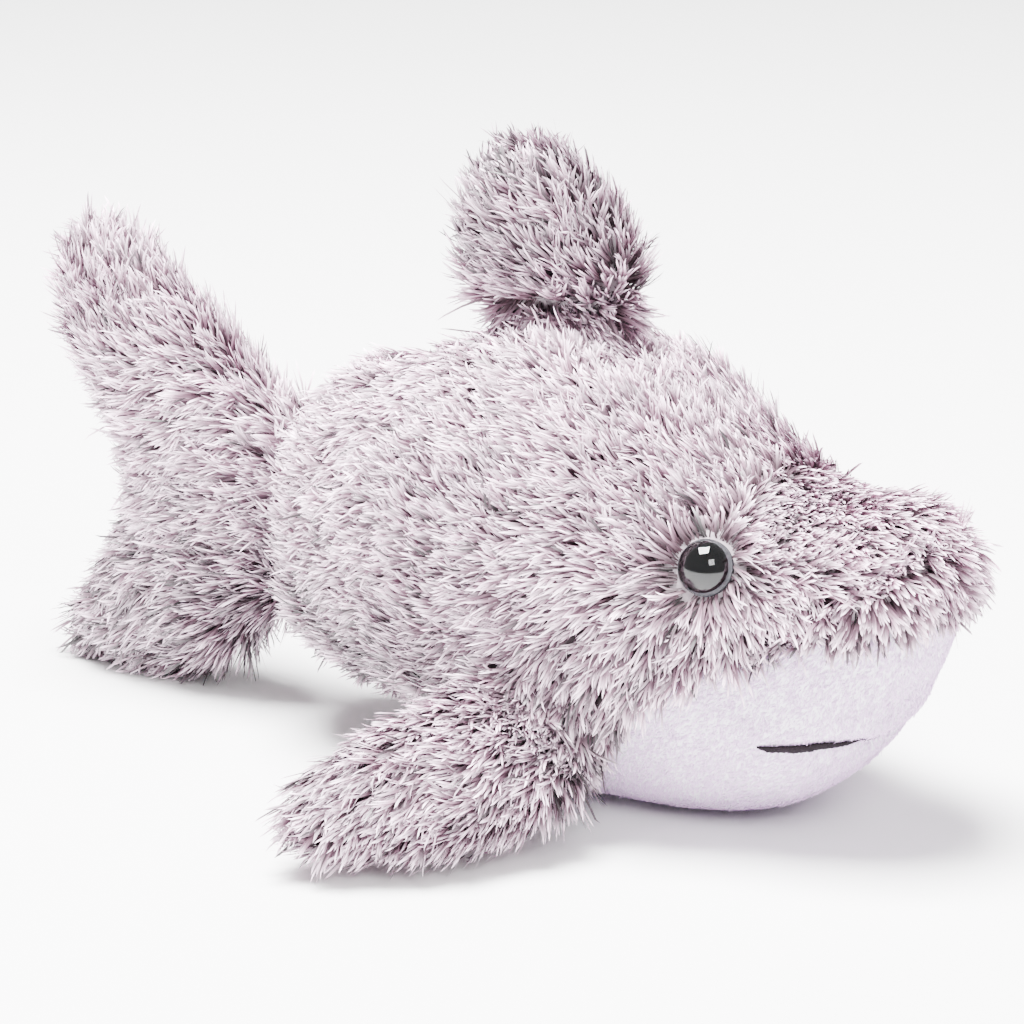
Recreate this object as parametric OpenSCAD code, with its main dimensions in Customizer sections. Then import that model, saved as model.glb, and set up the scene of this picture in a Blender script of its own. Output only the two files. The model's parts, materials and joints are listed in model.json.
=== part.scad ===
// Plush shark, sewn from shaggy pile panels over soft stuffing.
// Millimetres. +X is the nose, +Y the shark's left and +Z is up.
// The origin is at the centre of the footprint, on the surface that the belly rests on.

/* [Body] */
// Length from the nose to the hinge line of the tail
body_len = 180; // [152:1:208]
// Greatest width, over the pile
body_w = 88; // [76:1:106]
// Height of the back above the rest surface, over the pile
body_h = 102; // [90:1:122]

/* [Tail fin] */
// Length from that hinge line to the rearmost edge
tail_len = 63; // [53:1:76]
// Height between the tips of the two lobes
tail_h = 108; // [94:1:124]
// Height of the tail seam's middle above the rest surface
tail_mid_z = 49; // [46:1:53]
// Thickness of the stuffed tail fin
tail_t = 26; // [22:1:30]

/* [Dorsal fin] */
// Reach of the fin above its hinge line
dorsal_h = 28; // [24:1:34]
// Length of the dorsal fin along the back
dorsal_chord = 52; // [45:1:60]
// Thickness of the stuffed dorsal fin
dorsal_t = 19; // [16:1:22]
// Distance of the root's middle behind the nose
dorsal_back = 107; // [101:1:113]

/* [Pectoral fins] */
// Length from the root to the tip
pectoral_len = 47; // [40:1:56]
// Length of each sewn root
pectoral_chord = 36; // [31:1:42]
// Thickness of each stuffed fin
pectoral_t = 20; // [17:1:23]
// Distance of the root's middle behind the nose
pectoral_back = 80; // [75:1:86]
// Height of the root's middle above the rest surface
pectoral_z = 22; // [21:1:27]
// Slope of the root line, nose end down
pectoral_slope = 33; // [28:1:38]
// How far the fin folds back and down from straight out
pectoral_droop = 36; // [32:1:42]
// How far the root line turns in towards the nose
pectoral_turn = 9; // [6:1:12]

/* [Fabric] */
// Thickness of the laid shaggy pile with its backing
pile_t = 6; // [5:0.25:7]
// Thickness of the short white pile with its backing
short_pile_t = 2; // [1.5:0.25:2.5]

/* [Eyes] */
// Diameter of the clear dome
eye_d = 12; // [10:0.5:14]
// Diameter of the black pupil
pupil_d = 9.4; // [8:0.2:9.6]
// Distance of the eyes behind the nose
eye_back = 47; // [42:1:52]
// Height of the eyes above the rest surface
eye_z = 61.5; // [57:0.5:65]
// How far each eye turns towards the nose
eye_turn = 12; // [6:1:20]
// How far each eye tilts up
eye_tilt = 22; // [12:1:30]

/* [Hidden] */

// Finishes
grey_pile = [0.79, 0.75, 0.79];
white_pile = [0.93, 0.90, 0.95];
fibre_fill = [0.95, 0.95, 0.93];
thread = [0.16, 0.13, 0.16];

// Fits
fill_gap = 0.9;      // stuffing to the back of its cover
seam_gap = 0.15;     // between panels sewn edge to edge
swing_gap = 1;       // fins to the body that they swing on
eye_gap = 0.3;       // pile round an eye
bore_gap = 0.05;     // post in the backing and the washer
big = 400;           // larger than the whole toy
over = 1;            // cutters pass through faces by this much

// Places along the toy
total_len = body_len + tail_len;
nose_x = total_len / 2;
tail_x = nose_x - body_len;
white_inset = pile_t - short_pile_t;

// ---- Curves and skins ---------------------------------------------------

// Point at share t between b and c of a smooth curve through a, b, c and d
function smooth(a, b, c, d, t) =
    0.5 * (2 * b + (c - a) * t + (2 * a - 5 * b + 4 * c - d) * t * t
           + (3 * b - a - 3 * c + d) * t * t * t);

// Smooth open curve through the given points, with n steps between neighbours
function open_curve(p, n) =
    let (last = len(p) - 1)
    [for (i = [0 : last * n])
        let (k = min(floor(i / n), last - 1), t = i / n - k)
        smooth(p[max(k - 1, 0)], p[k], p[k + 1], p[min(k + 2, last)], t)];

// Smooth closed curve through the given points
function closed_curve(p, n) =
    let (m = len(p))
    [for (i = [0 : m * n - 1])
        let (k = floor(i / n), t = i / n - k)
        smooth(p[(k + m - 1) % m], p[k], p[(k + 1) % m], p[(k + 2) % m], t)];

// Signed power, for superellipses
function spow(v, e) = sign(v) * pow(abs(v), e);

// Closed skin over rings with the same number of points, ended by a tip at each end
module skin(rings, first_tip, last_tip) {
    n = len(rings[0]);
    m = len(rings);
    sides = [for (j = [0 : m - 2], i = [0 : n - 1])
        let (a = j * n + i, b = j * n + (i + 1) % n)
        each [[a, b + n, b], [a, a + n, b + n]]];
    start = [for (i = [0 : n - 1]) [m * n, i, (i + 1) % n]];
    finish = [for (i = [0 : n - 1]) [m * n + 1, (m - 1) * n + (i + 1) % n, (m - 1) * n + i]];
    polyhedron(points = concat([for (r = rings) each r], [first_tip, last_tip]),
               faces = concat(sides, start, finish));
}

// Closed shell between an outer and an inner sheet, each a grid of rows of points
module sheet(outer, inner) {
    m = len(outer);
    n = len(outer[0]);
    q = m * n;
    faces = [for (j = [0 : m - 2], i = [0 : n - 2])
        let (a = j * n + i)
        each [[a, a + 1, a + n + 1], [a, a + n + 1, a + n],
              [q + a, q + a + n + 1, q + a + 1], [q + a, q + a + n, q + a + n + 1]]];
    rows = [for (i = [0 : n - 2])
        let (a = i, b = (m - 1) * n + i)
        each [[a, q + a + 1, a + 1], [a, q + a, q + a + 1],
              [b, b + 1, q + b + 1], [b, q + b + 1, q + b]]];
    columns = [for (j = [0 : m - 2])
        let (a = j * n, b = j * n + n - 1)
        each [[a, a + n, q + a + n], [a, q + a + n, q + a],
              [b, q + b + n, b + n], [b, q + b, q + b + n]]];
    polyhedron(points = concat([for (r = outer) each r], [for (r = inner) each r]),
               faces = concat(faces, rows, columns));
}

// ---- Body form ----------------------------------------------------------

// Sections over the pile, nose to rear, as shares of the body:
// [behind the nose, half width, top, bottom, squareness]
BODY_SECTIONS = [
    [0.000, 0.011, 0.529, 0.520, 2.00],
    [0.006, 0.182, 0.598, 0.451, 2.05],
    [0.017, 0.307, 0.657, 0.387, 2.15],
    [0.036, 0.432, 0.704, 0.319, 2.20],
    [0.067, 0.557, 0.730, 0.240, 2.25],
    [0.111, 0.670, 0.745, 0.137, 2.30],
    [0.161, 0.750, 0.753, 0.059, 2.25],
    [0.211, 0.802, 0.760, 0.000, 2.15],
    [0.261, 0.848, 0.784, -0.034, 2.05],
    [0.311, 0.898, 0.833, -0.054, 2.05],
    [0.361, 0.943, 0.897, -0.064, 2.05],
    [0.417, 0.977, 0.956, -0.064, 2.10],
    [0.489, 1.000, 0.990, -0.064, 2.10],
    [0.561, 1.000, 1.000, -0.049, 2.10],
    [0.639, 0.966, 0.980, 0.005, 2.10],
    [0.722, 0.886, 0.926, 0.088, 2.10],
    [0.806, 0.750, 0.868, 0.103, 2.10],
    [0.878, 0.591, 0.819, 0.123, 2.10],
    [0.933, 0.443, 0.755, 0.186, 2.10]
];
SECTION_STEPS = 2;
RING_POINTS = 32;
ROUND_NOSE = 0.16;   // share of the length over which an inner layer draws back at the nose
ROUND_REAR = 0.83;   // share of the length where the rear wall begins
REAR_END = BODY_SECTIONS[len(BODY_SECTIONS) - 1];
REAR_TIP = [REAR_END[0], 0.01, (REAR_END[2] + REAR_END[3]) / 2 + 0.004,
            (REAR_END[2] + REAR_END[3]) / 2 - 0.004, 2];
SECTIONS = concat(open_curve(BODY_SECTIONS, SECTION_STEPS), [REAR_TIP]);

// Height of the seam between grey and white, by distance behind the nose
CHIN_SEAM = [
    [0.000, 0.515], [0.078, 0.505], [0.144, 0.485], [0.211, 0.456], [0.272, 0.407],
    [0.322, 0.338], [0.361, 0.250], [0.389, 0.147], [0.417, 0.093], [0.467, 0.074],
    [0.511, 0.054], [0.550, 0.025], [0.589, -0.005], [0.639, 0.008]
];
// Height of the seam round the muzzle, which meets the chin seam at its last point
MUZZLE_SEAM = [
    [0.000, 1.078], [0.022, 1.078], [0.036, 0.681], [0.050, 0.652], [0.067, 0.627],
    [0.089, 0.593], [0.111, 0.564], [0.156, 0.505], [0.228, 0.446]
];
chin_end = CHIN_SEAM[len(CHIN_SEAM) - 1][0];
muzzle_end = MUZZLE_SEAM[len(MUZZLE_SEAM) - 1][0];
muzzle_top = MUZZLE_SEAM[1][0];

// Point of a layer of the body: section s, angle a above the flank, side -1 right and 1 left
function body_point(s, a, side, inset, floor_z) =
    let (hw = s[1] * body_w / 2,
         top = s[2] * body_h,
         bottom = s[3] * body_h,
         hh = (top - bottom) / 2,
         in_w = inset * min(1, hw / (2 * pile_t)),
         in_h = inset * min(1, hh / (2 * pile_t)),
         nose_in = inset * max(0, 1 - s[0] / ROUND_NOSE),
         rear_in = inset * max(0, s[0] - ROUND_REAR) / (REAR_END[0] - ROUND_REAR),
         e = 2 / s[4])
    [nose_x - s[0] * body_len - nose_in + rear_in,
     side * (hw - in_w) * spow(cos(a), e),
     max((top + bottom) / 2 + (hh - in_h) * spow(sin(a), e), floor_z)];

// Angle above the flank at which a section passes a height
function angle_at(s, z) =
    let (top = s[2] * body_h,
         bottom = s[3] * body_h,
         v = (2 * z - top - bottom) / (top - bottom))
    asin(spow(min(max(v, -1), 1), s[4] / 2));

function chin_angle(s, gap) = max(angle_at(s, lookup(s[0], CHIN_SEAM) * body_h - gap), -80);
function muzzle_angle(s) = max(angle_at(s, lookup(s[0], MUZZLE_SEAM) * body_h), chin_angle(s, 0));

// Value of one column of the sections at a share of the length
function body_at(share, column) = lookup(share, [for (s = BODY_SECTIONS) [s[0], s[column]]]);

// Height of the back, over the pile
function back_z(share) = body_at(share, 2) * body_h;

// Half width at a height, over the pile
function flank_y(share, z) =
    let (top = body_at(share, 2) * body_h,
         bottom = body_at(share, 3) * body_h,
         n = body_at(share, 4),
         v = abs(2 * z - top - bottom) / (top - bottom))
    body_at(share, 1) * body_w / 2 * pow(1 - pow(v, n), 1 / n);

// Solid body form, drawn in by inset
module body_form(inset, floor_z) {
    skin([for (k = [len(SECTIONS) - 2 : -1 : 1])
             [for (i = [0 : RING_POINTS - 1])
                 let (a = 360 * i / RING_POINTS)
                 body_point(SECTIONS[k], a > 90 && a < 270 ? 180 - a : a,
                            a > 90 && a < 270 ? -1 : 1, inset, floor_z)]],
         body_point(REAR_TIP, 0, 0, inset, floor_z),
         body_point(SECTIONS[0], 0, 0, inset, floor_z));
}

// Rows of a right hand panel's sheet, one for each section, from its high angle to its low one
function panel_rows(sections, low, high, steps, inset, floor_z) =
    [for (k = [0 : len(sections) - 1])
        [for (i = [0 : steps])
            body_point(sections[k], high[k] + (low[k] - high[k]) * i / steps, -1, inset, floor_z)]];

PANEL_STEPS = 14;    // facets of a side panel from its lower seam to the back
MUZZLE_STEPS = 8;
BELLY_STEPS = 8;     // facets of the belly panel on each side
grey_floor = short_pile_t / 2;

// ---- Fins ---------------------------------------------------------------
// Each fin is drawn on its own hinge line: X runs along the line, Z away from the body
// and Y through the thickness.

// Outlines as shares of [height or chord, reach]. The root edge is set by ROOT_SINK.
TAIL_OUTLINE = [
    [0.21, 0.03], [0.29, 0.16], [0.40, 0.43], [0.515, 0.70],
    [0.535, 0.88], [0.445, 1.0], [0.31, 0.95], [0.20, 0.84], [0.08, 0.72],
    [-0.04, 0.68], [-0.17, 0.75], [-0.30, 0.89], [-0.40, 1.0], [-0.44, 0.88], [-0.447, 0.66],
    [-0.44, 0.42], [-0.37, 0.20], [-0.26, 0.05]
];
TAIL_MIDDLE = [0.00, 0.28];
TAIL_ROOT = [-0.20, 0.18];
DORSAL_OUTLINE = [
    [0.46, -0.06], [0.50, 0.12], [0.43, 0.40],
    [0.28, 0.72], [0.10, 0.95], [-0.08, 1.0], [-0.24, 0.92], [-0.36, 0.64], [-0.39, 0.28]
];
DORSAL_MIDDLE = [0.03, 0.33];
DORSAL_ROOT = [-0.34, 0.38];
PECTORAL_OUTLINE = [
    [0.46, 0.02], [0.36, 0.30],
    [0.15, 0.57], [-0.14, 0.85], [-0.44, 1.0], [-0.71, 0.94], [-0.78, 0.72], [-0.69, 0.42],
    [-0.56, 0.12]
];
PECTORAL_MIDDLE = [-0.16, 0.38];
PECTORAL_ROOT = [-0.42, 0.40];
OUTLINE_STEPS = 2;
FIN_LAYERS = 4;      // rings from the edge to each face
PLUMP = 2.3;         // squareness of a fin's section
EDGE_PULL = 1.1;     // how much further a layer draws in at a fin's edge than at its faces
FACE_END = 66;       // angle at which the last ring closes a face
ROOT_SINK = 0.78;    // reach of the root edge below the hinge line, in half thicknesses
ROOT_ROOM = 0.90;    // hinge line to the body, in half thicknesses

// Whole outline in millimetres, with its root edge
function fin_outline(outline, root, width, reach, half_t) =
    closed_curve(concat(
        [for (x = [root[0], (root[0] + root[1]) / 2, root[1]]) [x * width, -ROOT_SINK * half_t]],
        [for (p = outline) [p[0] * width, p[1] * reach]]), OUTLINE_STEPS);

// Ring of a fin at angle a from its edge, drawn in by inset, on side -1 or 1
function fin_ring(outline, c, half_t, inset, a, side) =
    [for (p = outline)
        let (d = p - c,
             k = (norm(d) - EDGE_PULL * inset) / norm(d) * spow(cos(a), 2 / PLUMP))
        [c[0] + d[0] * k, fin_y(half_t, inset, a, side), c[1] + d[1] * k]];

// Distance of that ring from the middle plane
function fin_y(half_t, inset, a, side) =
    side * (seam_gap / 2 + (half_t - inset - seam_gap / 2) * spow(sin(a), 2 / PLUMP));

layer_angles = [for (j = [0 : FIN_LAYERS]) FACE_END * j / FIN_LAYERS];

// Half of a fin's cover, on side -1 or 1
module fin_cover(outline, c, half_t, side) {
    outward = [for (j = [FIN_LAYERS : -1 : 0])
        fin_ring(outline, c, half_t, 0, layer_angles[j], side)];
    inward = [for (j = [0 : FIN_LAYERS])
        fin_ring(outline, c, half_t, pile_t, layer_angles[j], side)];
    rings = concat(outward, inward);
    order = side > 0 ? rings : [for (i = [len(rings) - 1 : -1 : 0]) rings[i]];
    outer_tip = [c[0], fin_y(half_t, 0, 90, side), c[1]];
    inner_tip = [c[0], fin_y(half_t, pile_t, 90, side), c[1]];
    skin(order, side > 0 ? outer_tip : inner_tip, side > 0 ? inner_tip : outer_tip);
}

// Stuffing of a fin
module fin_fill(outline, c, half_t) {
    inset = pile_t + fill_gap;
    skin([for (j = [FIN_LAYERS : -1 : -FIN_LAYERS])
             fin_ring(outline, c, half_t, inset, layer_angles[abs(j)], sign(j))],
         [c[0], fin_y(half_t, inset, 90, 1), c[1]],
         [c[0], fin_y(half_t, inset, 90, -1), c[1]]);
}

tail_line = fin_outline(TAIL_OUTLINE, TAIL_ROOT, tail_h, tail_len, tail_t / 2);
tail_middle = [TAIL_MIDDLE[0] * tail_h, TAIL_MIDDLE[1] * tail_len];
dorsal_line = fin_outline(DORSAL_OUTLINE, DORSAL_ROOT, dorsal_chord, dorsal_h, dorsal_t / 2);
dorsal_middle = [DORSAL_MIDDLE[0] * dorsal_chord, DORSAL_MIDDLE[1] * dorsal_h];
pectoral_line = fin_outline(PECTORAL_OUTLINE, PECTORAL_ROOT, pectoral_chord, pectoral_len,
                            pectoral_t / 2);
pectoral_middle = [PECTORAL_MIDDLE[0] * pectoral_chord, PECTORAL_MIDDLE[1] * pectoral_len];

dorsal_axis_z = back_z(dorsal_back / body_len) + ROOT_ROOM * dorsal_t / 2 + swing_gap;
pectoral_y = flank_y(pectoral_back / body_len, pectoral_z) + ROOT_ROOM * pectoral_t / 2 + swing_gap;

module at_tail() {
    translate([tail_x, 0, tail_mid_z])
        rotate([0, -90, 0])
            children();
}

module at_dorsal() {
    translate([nose_x - dorsal_back, 0, dorsal_axis_z])
        children();
}

module at_right_pectoral() {
    translate([nose_x - pectoral_back, -pectoral_y, pectoral_z])
        rotate([0, 0, pectoral_turn])
            rotate([0, pectoral_slope, 0])
                rotate([90 + pectoral_droop, 0, 0])
                    children();
}

// ---- Eyes ---------------------------------------------------------------

eye_plate_t = 1.2;   // pale plate under the dome
eye_dome_h = 4.6;    // dome above the plate
pupil_t = 1.4;       // black pupil inside the dome
post_d = 3.6;        // post behind the plate
post_len = 13;       // post behind the backing
washer_d = 14;       // lock washer inside the cover
washer_t = 1.2;      // thickness of the washer
backing_t = 1.6;     // fabric gripped between plate and washer
eye_sink = 3.4;      // how deep the plate sits below the top of the pile
eye_y = flank_y(eye_back / body_len, eye_z) - eye_sink;

module at_right_eye() {
    translate([nose_x - eye_back, -eye_y, eye_z])
        rotate([0, 0, eye_turn])
            rotate([90 - eye_tilt, 0, 0])
                children();
}

// Room for the plate and dome in the pile, the post in the backing and the washer behind it
module eye_room() {
    cylinder(d = eye_d + 2 * eye_gap, h = big / 8, $fn = 48);
    translate([0, 0, -backing_t - over])
        cylinder(d = post_d + 2 * bore_gap, h = backing_t + 2 * over, $fn = 32);
    translate([0, 0, -backing_t - post_len - over])
        cylinder(d = washer_d + 2 * eye_gap, h = post_len + over, $fn = 48);
}

module eye_lens() {
    ball = (pow(eye_d / 2, 2) + pow(eye_dome_h, 2)) / (2 * eye_dome_h);
    difference() {
        intersection() {
            translate([0, 0, eye_plate_t + eye_dome_h - ball])
                sphere(r = ball, $fn = 48);
            translate([0, 0, eye_plate_t])
                cylinder(d = eye_d, h = eye_dome_h + over, $fn = 48);
        }
        translate([0, 0, eye_plate_t - over])
            cylinder(d = pupil_d, h = pupil_t + over, $fn = 48);
    }
}

module eye_pupil() {
    translate([0, 0, eye_plate_t])
        cylinder(d = pupil_d, h = pupil_t, $fn = 48);
}

module eye_post() {
    cylinder(d = eye_d, h = eye_plate_t, $fn = 48);
    translate([0, 0, -backing_t - post_len])
        cylinder(d = post_d, h = backing_t + post_len + eye_plate_t / 2, $fn = 32);
}

module eye_washer() {
    translate([0, 0, -backing_t - washer_t])
        difference() {
            cylinder(d = washer_d, h = washer_t, $fn = 48);
            translate([0, 0, -over])
                cylinder(d = post_d + 2 * bore_gap, h = washer_t + 2 * over, $fn = 32);
        }
}

// ---- Mouth --------------------------------------------------------------

mouth_t = 1.5;       // height of the stitched line at its thickest
mouth_deep = 1;      // how far the thread is drawn into the white pile
mouth_proud = 0.5;   // how far it stands out
// The line from its right end to the chin's middle:
// [angle above the flank, behind the nose, thickness]
MOUTH_LINE = [
    [-24, 0.216, 0.15],
    [-26, 0.199, 0.75],
    [-29, 0.175, 1.00],
    [-34, 0.149, 0.90],
    [-42, 0.123, 0.65],
    [-55, 0.104, 0.40],
    [-70, 0.097, 0.35],
    [-90, 0.095, 0.35]
];
MOUTH_STEPS = 4;

// Point of the line on a layer of the chin
function mouth_point(p, side, inset) =
    body_point([for (c = [0 : 4]) c == 0 ? p[1] : body_at(p[1], c)], p[0], side, inset, 0);

// Section of the thread: out, down, in and up
function mouth_ring(p, side) =
    let (q = mouth_point(p, side, white_inset), h = p[2] * mouth_t / 2)
    [mouth_point(p, side, white_inset - mouth_proud), q - [0, 0, h],
     mouth_point(p, side, white_inset + mouth_deep), q + [0, 0, h]];

// ---- Sub-parts ----------------------------------------------------------

module body_stuffing() {
    color(fibre_fill)
        difference() {
            body_form(pile_t + fill_gap, short_pile_t + fill_gap);
            at_right_eye() eye_room();
            mirror([0, 1, 0]) at_right_eye() eye_room();
        }
}

// Shaggy panel of one flank, from the muzzle to the rear wall
module right_side_cover() {
    sections = [for (s = SECTIONS) if (s[0] > muzzle_top) s];
    low = [for (s = sections)
        s[0] > chin_end ? -90 : s[0] > muzzle_end ? chin_angle(s, 0) : muzzle_angle(s)];
    high = [for (s = sections) 90];
    color(grey_pile)
        difference() {
            translate([0, -seam_gap / 2, 0])
                sheet(panel_rows(sections, low, high, PANEL_STEPS, 0, grey_floor),
                      panel_rows(sections, low, high, PANEL_STEPS, pile_t, short_pile_t));
            at_right_eye() eye_room();
        }
}

// Shaggy panel of one side of the muzzle, which ends in a point on the cheek
module right_muzzle_cover() {
    sections = [for (s = SECTIONS) if (s[0] < muzzle_end) s];
    low = [for (s = sections) chin_angle(s, 0)];
    high = [for (s = sections) muzzle_angle(s) - seam_gap];
    color(grey_pile)
        translate([0, -seam_gap / 2, 0])
            sheet(panel_rows(sections, low, high, MUZZLE_STEPS, 0, grey_floor),
                  panel_rows(sections, low, high, MUZZLE_STEPS, pile_t, short_pile_t));
}

// Short white panel over the chin and belly
module belly_cover() {
    sections = [for (s = SECTIONS) if (s[0] > 0 && s[0] <= chin_end) s];
    function rows(inset, floor_z) =
        [for (s = sections)
            let (top = chin_angle(s, seam_gap))
            [for (i = [-BELLY_STEPS : BELLY_STEPS])
                body_point(s, -90 + (top + 90) * abs(i) / BELLY_STEPS, sign(i), inset, floor_z)]];
    color(white_pile)
        sheet(rows(white_inset, 0), rows(pile_t, short_pile_t));
}

module mouth_stitching() {
    half = open_curve(MOUTH_LINE, MOUTH_STEPS);
    last = len(half) - 1;
    rings = concat([for (p = half) mouth_ring(p, -1)],
                   [for (i = [last - 1 : -1 : 0]) mouth_ring(half[i], 1)]);
    color(thread)
        skin(rings, mouth_point(half[0], -1, white_inset), mouth_point(half[0], 1, white_inset));
}

module tail_cover(side) {
    color(grey_pile)
        at_tail() fin_cover(tail_line, tail_middle, tail_t / 2, side);
}

module dorsal_cover(side) {
    color(grey_pile)
        at_dorsal() fin_cover(dorsal_line, dorsal_middle, dorsal_t / 2, side);
}

module right_pectoral_cover(side) {
    color(grey_pile)
        at_right_pectoral() fin_cover(pectoral_line, pectoral_middle, pectoral_t / 2, side);
}

module tail_stuffing() {
    color(fibre_fill)
        at_tail() fin_fill(tail_line, tail_middle, tail_t / 2);
}

module dorsal_stuffing() {
    color(fibre_fill)
        at_dorsal() fin_fill(dorsal_line, dorsal_middle, dorsal_t / 2);
}

module right_pectoral_stuffing() {
    color(fibre_fill)
        at_right_pectoral() fin_fill(pectoral_line, pectoral_middle, pectoral_t / 2);
}

module left_side() {
    mirror([0, 1, 0])
        children();
}

body_stuffing();
right_side_cover();
left_side() right_side_cover();  // left_side_cover
right_muzzle_cover();
left_side() right_muzzle_cover();  // left_muzzle_cover
belly_cover();
mouth_stitching();
tail_stuffing();
tail_cover(-1);  // tail_right_cover
tail_cover(1);  // tail_left_cover
dorsal_stuffing();
dorsal_cover(-1);  // dorsal_right_cover
dorsal_cover(1);  // dorsal_left_cover
right_pectoral_stuffing();
right_pectoral_cover(1);  // right_pectoral_top_cover
right_pectoral_cover(-1);  // right_pectoral_bottom_cover
left_side() right_pectoral_stuffing();  // left_pectoral_stuffing
left_side() right_pectoral_cover(1);  // left_pectoral_top_cover
left_side() right_pectoral_cover(-1);  // left_pectoral_bottom_cover
color([0.85, 0.85, 0.87, 0.5]) at_right_eye() eye_lens();  // right_eye_lens
color([0.05, 0.05, 0.05]) at_right_eye() eye_pupil();  // right_eye_pupil
color([0.75, 0.75, 0.76]) at_right_eye() eye_post();  // right_eye_post
color([0.9, 0.9, 0.88]) at_right_eye() eye_washer();  // right_eye_washer
color([0.85, 0.85, 0.87, 0.5]) left_side() at_right_eye() eye_lens();  // left_eye_lens
color([0.05, 0.05, 0.05]) left_side() at_right_eye() eye_pupil();  // left_eye_pupil
color([0.75, 0.75, 0.76]) left_side() at_right_eye() eye_post();  // left_eye_post
color([0.9, 0.9, 0.88]) left_side() at_right_eye() eye_washer();  // left_eye_washer
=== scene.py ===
"""Plush shark: padded skins, shaggy frosted pile, short chin pile, domed eyes and a stitched mouth."""
import json
import math

import bpy
import numpy as np
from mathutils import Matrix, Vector
from mathutils.bvhtree import BVHTree
from mathutils.kdtree import KDTree


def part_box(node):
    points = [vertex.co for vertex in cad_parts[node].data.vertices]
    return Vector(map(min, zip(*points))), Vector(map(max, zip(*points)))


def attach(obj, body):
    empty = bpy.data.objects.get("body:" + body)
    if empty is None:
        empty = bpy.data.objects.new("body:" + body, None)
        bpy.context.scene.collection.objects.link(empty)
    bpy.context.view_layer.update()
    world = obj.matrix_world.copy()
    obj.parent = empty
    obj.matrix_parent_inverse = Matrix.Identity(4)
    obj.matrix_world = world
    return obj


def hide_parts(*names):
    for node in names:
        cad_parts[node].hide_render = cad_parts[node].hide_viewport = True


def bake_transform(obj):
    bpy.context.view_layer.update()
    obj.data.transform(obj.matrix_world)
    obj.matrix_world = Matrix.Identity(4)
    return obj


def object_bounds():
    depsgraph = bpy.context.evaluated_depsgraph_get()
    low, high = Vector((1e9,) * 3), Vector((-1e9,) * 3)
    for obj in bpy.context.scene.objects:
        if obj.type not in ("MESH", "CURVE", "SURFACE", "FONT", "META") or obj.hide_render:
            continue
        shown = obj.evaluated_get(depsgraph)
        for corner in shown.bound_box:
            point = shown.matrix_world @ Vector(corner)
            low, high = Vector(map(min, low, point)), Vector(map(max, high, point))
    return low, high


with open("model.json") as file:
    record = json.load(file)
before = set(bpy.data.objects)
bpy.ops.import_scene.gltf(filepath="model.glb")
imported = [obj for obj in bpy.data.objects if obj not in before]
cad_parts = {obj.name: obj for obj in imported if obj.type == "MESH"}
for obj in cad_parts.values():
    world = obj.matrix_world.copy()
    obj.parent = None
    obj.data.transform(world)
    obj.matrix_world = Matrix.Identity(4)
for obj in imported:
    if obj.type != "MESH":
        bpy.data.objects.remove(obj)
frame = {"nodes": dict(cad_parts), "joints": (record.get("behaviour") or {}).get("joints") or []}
cad_low, cad_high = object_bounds()
nodes = frame["nodes"]
joints = {j["name"]: j for j in frame["joints"]}
MM = 0.001
SIDES = ("right", "left")


# ---- Small geometry helpers ----------------------------------------------

def unit(v):
    """Rows of v at length one."""
    return v / np.maximum(np.linalg.norm(v, axis=-1, keepdims=True), 1e-9)


def smoothstep(low, high, x):
    t = np.clip((x - low) / (high - low), 0, 1)
    return t * t * (3 - 2 * t)


def mesh_points(mesh):
    co = np.zeros(len(mesh.vertices) * 3)
    mesh.vertices.foreach_get("co", co)
    return co.reshape(-1, 3)


def mesh_normals(mesh):
    no = np.zeros(len(mesh.vertices) * 3)
    mesh.vertex_normals.foreach_get("vector", no)
    return no.reshape(-1, 3)


def mesh_edges(mesh):
    ed = np.zeros(len(mesh.edges) * 2, dtype=np.int64)
    mesh.edges.foreach_get("vertices", ed)
    return ed.reshape(-1, 2)


def set_points(mesh, co):
    mesh.vertices.foreach_set("co", co.astype(np.float32).ravel())
    mesh.update()


def new_object(name, mesh):
    obj = bpy.data.objects.new(name, mesh)
    bpy.context.scene.collection.objects.link(obj)
    return obj


def applied(obj):
    """The object with its modifiers applied to its mesh."""
    bpy.context.view_layer.update()
    graph = bpy.context.evaluated_depsgraph_get()
    mesh = bpy.data.meshes.new_from_object(obj.evaluated_get(graph))
    obj.modifiers.clear()
    old = obj.data
    obj.data = mesh
    bpy.data.meshes.remove(old)
    return obj


def joined_mesh(names, title):
    """One mesh from several CAD nodes, with the node of each face."""
    points, faces, owner, base = [], [], [], 0
    for name in names:
        mesh = nodes[name].data
        co = mesh_points(mesh)
        points.append(co)
        for poly in mesh.polygons:
            faces.append([base + i for i in poly.vertices])
            owner.append(name)
        base += len(co)
    mesh = bpy.data.meshes.new(title)
    mesh.from_pydata(np.concatenate(points).tolist(), [], faces)
    return mesh, faces, owner


def neighbour_mean(values, edges, count):
    total = np.zeros_like(values)
    np.add.at(total, edges[:, 0], values[edges[:, 1]])
    np.add.at(total, edges[:, 1], values[edges[:, 0]])
    return total / count


def relaxed(values, edges, rounds, share=0.5):
    """Values over the mesh's points, evened out with their neighbours."""
    count = np.zeros(len(values))
    np.add.at(count, edges[:, 0], 1)
    np.add.at(count, edges[:, 1], 1)
    count = np.maximum(count, 1).reshape((-1,) + (1,) * (values.ndim - 1))
    for _ in range(rounds):
        values = values + share * (neighbour_mean(values, edges, count) - values)
    return values


def waves(p, scale, seed, count=6):
    """Smooth seeded noise from -1 to 1 over points p, with features about scale across."""
    rng = np.random.default_rng(seed)
    total = np.zeros(len(p))
    for _ in range(count):
        k = rng.normal(size=3) / scale
        total += np.sin(p @ k + rng.uniform(0, 2 * np.pi))
    return total / math.sqrt(count)


# ---- Places --------------------------------------------------------------

def node_middle(name):
    low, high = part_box(name)
    return np.array((low + high) / 2)


PLATE_ROOM = 1.02           # bare spot round an eye, over its plate's radius


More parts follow.
